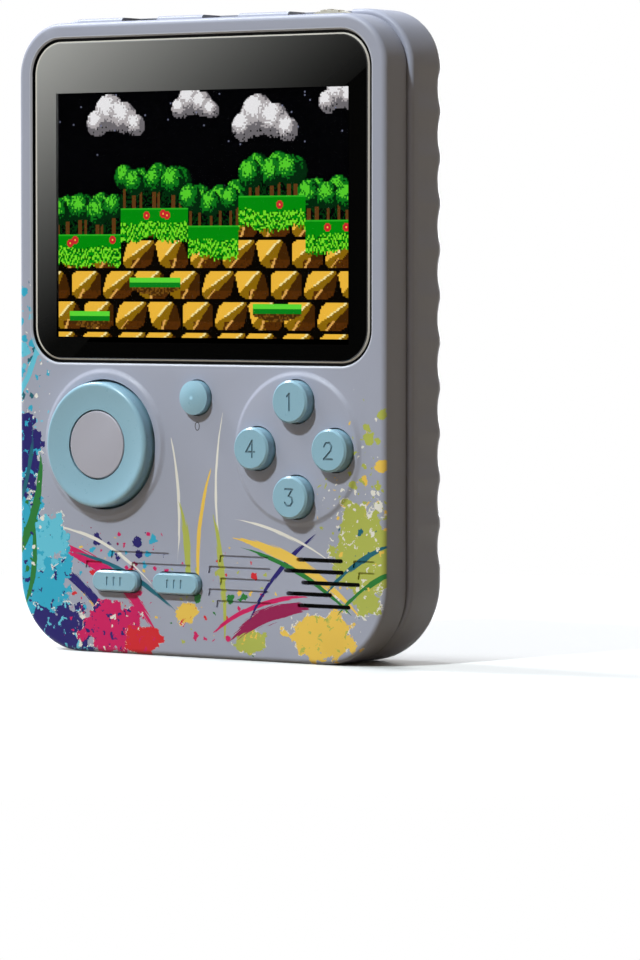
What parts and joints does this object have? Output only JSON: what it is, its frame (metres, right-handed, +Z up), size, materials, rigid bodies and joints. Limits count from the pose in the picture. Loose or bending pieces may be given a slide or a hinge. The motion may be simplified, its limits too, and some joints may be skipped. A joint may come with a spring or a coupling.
{
  "type": "handheld game console",
  "caption": "Upright pocket console with a screen above a round pad and four keys, a battery bay behind and switches on top.",
  "frame": {"origin": "under the middle of the console, on the surface that it stands on", "axes": "+X to the user's right, +Y from the screen towards the back, +Z up"},
  "size_m": [0.082, 0.0204, 0.1133],
  "materials": {
    "case": "satin moulded plastic, pale blue grey",
    "controls": "satin moulded plastic, light blue",
    "lens": "clear polished window",
    "mask": "gloss black print",
    "tape": "black adhesive tape",
    "display": "display glass",
    "sheet_steel": "plated sheet",
    "diffuser": "white diffuser",
    "foam": "black foam",
    "ribbon": "amber film",
    "silicone": "matt grey silicone",
    "board": "green solder mask",
    "chip": "black moulding",
    "can": "bare can",
    "screw": "plated steel",
    "paper": "black paper",
    "cloth": "black dust cloth",
    "wire": "red insulation",
    "cell": "wrapped cell",
    "contact": "plated spring",
    "knob": "black moulding",
    "wheel": "cream moulding"
  },
  "bodies": {
    "console": {"front_shell": "case", "rear_shell": "case", "screen_lens": "lens", "lens_print": "mask", "lens_tape": "tape", "display_frame": "sheet_steel", "display_panel": "display", "display_backlight": "diffuser", "display_foam": "foam", "display_flex": "ribbon", "pad_pivot_post": "diffuser", "pad_membrane": "silicone", "face_button_membrane": "silicone", "reset_membrane": "silicone", "menu_membrane": "silicone", "main_board": "board", "processor": "chip", "memory_chip": "chip", "crystal": "can", "board_capacitors": "can", "case_screws": "screw", "board_screws": "screw", "speaker_gasket": "foam", "speaker_cloth": "cloth", "speaker_frame": "sheet_steel", "speaker_cone": "paper", "speaker_magnet": "sheet_steel", "speaker_wires": "wire", "battery": "cell", "battery_contacts": "contact", "power_switch_body": "sheet_steel", "usb_port_shell": "sheet_steel", "usb_tongue": "chip", "volume_pot": "chip", "av_jack": "chip", "gamepad_jack": "chip"},
    "pad_ball": {"pad_pivot": "diffuser"},
    "pad": {"pad_disc": "controls", "pad_insert": "case"},
    "face_key_1": {"face_button_1": "controls"},
    "face_key_2": {"face_button_2": "controls"},
    "face_key_3": {"face_button_3": "controls"},
    "face_key_4": {"face_button_4": "controls"},
    "reset_key": {"reset_button": "controls"},
    "select_key": {"select_button": "controls"},
    "start_key": {"start_button": "controls"},
    "power_knob": {"power_switch_knob": "knob"},
    "volume": {"volume_wheel": "wheel"},
    "door": {"battery_door": "case"}
  },
  "joints": [
    {"name": "pad_rock_up_down", "type": "hinge", "parent": "console", "child": "pad_ball", "pos_m": [-0.0205, -0.00335, 0.0371], "axis": [1, 0, 0], "range_deg": [-3.2, 3.2], "stiffness_Nm_per_rad": 0.3, "deforming": ["pad_membrane"]},
    {"name": "pad_rock_left_right", "type": "hinge", "parent": "pad_ball", "child": "pad", "pos_m": [-0.0205, -0.00335, 0.0371], "axis": [0, 0, 1], "range_deg": [-3.2, 3.2], "stiffness_Nm_per_rad": 0.3, "deforming": ["pad_membrane"]},
    {"name": "face_key_1_press", "type": "slide", "parent": "console", "child": "face_key_1", "axis": [0, 1, 0], "range_m": [0, 0.0012], "stiffness_N_per_m": 800, "deforming": ["face_button_membrane"]},
    {"name": "face_key_2_press", "type": "slide", "parent": "console", "child": "face_key_2", "axis": [0, 1, 0], "range_m": [0, 0.0012], "stiffness_N_per_m": 800, "deforming": ["face_button_membrane"]},
    {"name": "face_key_3_press", "type": "slide", "parent": "console", "child": "face_key_3", "axis": [0, 1, 0], "range_m": [0, 0.0012], "stiffness_N_per_m": 800, "deforming": ["face_button_membrane"]},
    {"name": "face_key_4_press", "type": "slide", "parent": "console", "child": "face_key_4", "axis": [0, 1, 0], "range_m": [0, 0.0012], "stiffness_N_per_m": 800, "deforming": ["face_button_membrane"]},
    {"name": "reset_key_press", "type": "slide", "parent": "console", "child": "reset_key", "axis": [0, 1, 0], "range_m": [0, 0.0008], "stiffness_N_per_m": 900, "deforming": ["reset_membrane"]},
    {"name": "select_key_press", "type": "slide", "parent": "console", "child": "select_key", "axis": [0, 1, 0], "range_m": [0, 0.0007], "stiffness_N_per_m": 900, "deforming": ["menu_membrane"]},
    {"name": "start_key_press", "type": "slide", "parent": "console", "child": "start_key", "axis": [0, 1, 0], "range_m": [0, 0.0007], "stiffness_N_per_m": 900, "deforming": ["menu_membrane"]},
    {"name": "power_switch_slide", "type": "slide", "parent": "console", "child": "power_knob", "axis": [1, 0, 0], "range_m": [0, 0.0025]},
    {"name": "volume_turn", "type": "hinge", "parent": "console", "child": "volume", "pos_m": [0.0215, 0.00335, 0.1048], "axis": [0, 1, 0], "range_deg": [-135, 135]},
    {"name": "battery_door_swing", "type": "hinge", "parent": "console", "child": "door", "pos_m": [0, 0.01015, 0.01715], "axis": [-1, 0, 0], "range_deg": [0, 75]}
  ]
}
